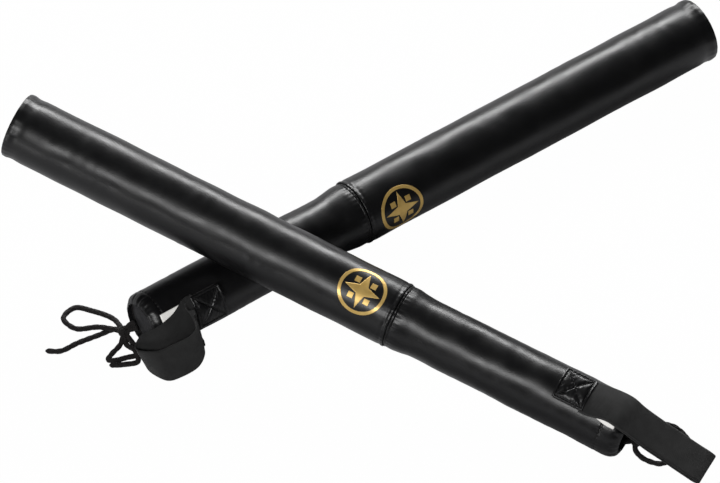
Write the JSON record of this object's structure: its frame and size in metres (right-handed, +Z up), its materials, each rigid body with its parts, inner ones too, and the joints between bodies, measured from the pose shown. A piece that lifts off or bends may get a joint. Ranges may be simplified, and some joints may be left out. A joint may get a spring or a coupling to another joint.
{
  "type": "focus training sticks",
  "caption": "Pair of padded training sticks lying crosswise, each with a wide striking end, a slimmer grip sleeve, a drawcord end and a webbing wrist strap.",
  "frame": {"origin": "middle of the pair's footprint, on the floor", "axes": "+X along the pair's longest spread, with the upper stick's strap end at +X; +Z up"},
  "size_m": [0.6462, 0.5378, 0.1524],
  "materials": {
    "leather": "smooth semi-gloss",
    "lining": "matte",
    "foam": "matte",
    "core_plastic": "satin",
    "webbing": "matte woven",
    "cord": "matte braided",
    "satin": "satin",
    "emblem": "metallic foil",
    "thread": "matte"
  },
  "bodies": {
    "lower_stick": {"lower_core_tube": "core_plastic", "lower_core_plug_tip": "core_plastic", "lower_core_plug_grip": "core_plastic", "lower_strike_foam": "foam", "lower_grip_foam": "foam", "lower_tip_pad": "foam", "lower_strike_cover": "leather", "lower_tip_cap": "leather", "lower_seam_ring": "leather", "lower_grip_cover": "leather", "lower_grip_end_disc": "lining", "lower_hem_cord": "cord", "lower_strap_patch": "leather", "lower_strap_ends": "webbing", "lower_care_label": "satin"},
    "lower_strap": {"lower_strap_loop": "webbing"},
    "lower_bow": {"lower_drawcord_bow": "cord"},
    "upper_stick": {"upper_core_tube": "core_plastic", "upper_core_plug_tip": "core_plastic", "upper_core_plug_grip": "core_plastic", "upper_strike_foam": "foam", "upper_grip_foam": "foam", "upper_tip_pad": "foam", "upper_strike_cover": "leather", "upper_tip_cap": "leather", "upper_seam_ring": "leather", "upper_grip_cover": "leather", "upper_grip_end_disc": "lining", "upper_hem_cord": "cord", "upper_strap_patch": "leather", "upper_strap_ends": "webbing", "upper_care_label": "satin"},
    "upper_strap": {"upper_strap_loop": "webbing"},
    "upper_bow": {"upper_drawcord_bow": "cord"}
  },
  "joints": [
    {"name": "upper_lift", "type": "slide", "parent": "lower_stick", "child": "upper_stick", "axis": [0, 0, 1], "range_m": [0, 0.15]},
    {"name": "lower_strap_swing", "type": "hinge", "parent": "lower_stick", "child": "lower_strap", "pos_m": [-0.1499, -0.10804, 0.04514], "axis": [-0.2875, 0.4091, 0.866], "range_deg": [0, 55]},
    {"name": "upper_strap_swing", "type": "hinge", "parent": "upper_stick", "child": "upper_strap", "pos_m": [0.19955, -0.21703, 0.06335], "axis": [-0.4713, -0.8577, -0.2054], "range_deg": [0, 85]},
    {"name": "lower_bow_swing", "type": "hinge", "parent": "lower_stick", "child": "lower_bow", "pos_m": [-0.21124, -0.09799, 0.01084], "axis": [0, 0, 1], "range_deg": [-15, 6]},
    {"name": "upper_bow_swing", "type": "hinge", "parent": "upper_stick", "child": "upper_bow", "pos_m": [0.23786, -0.22484, 0.01397], "axis": [0.1384, -0.0702, 0.9879], "range_deg": [-12, 12]}
  ]
}
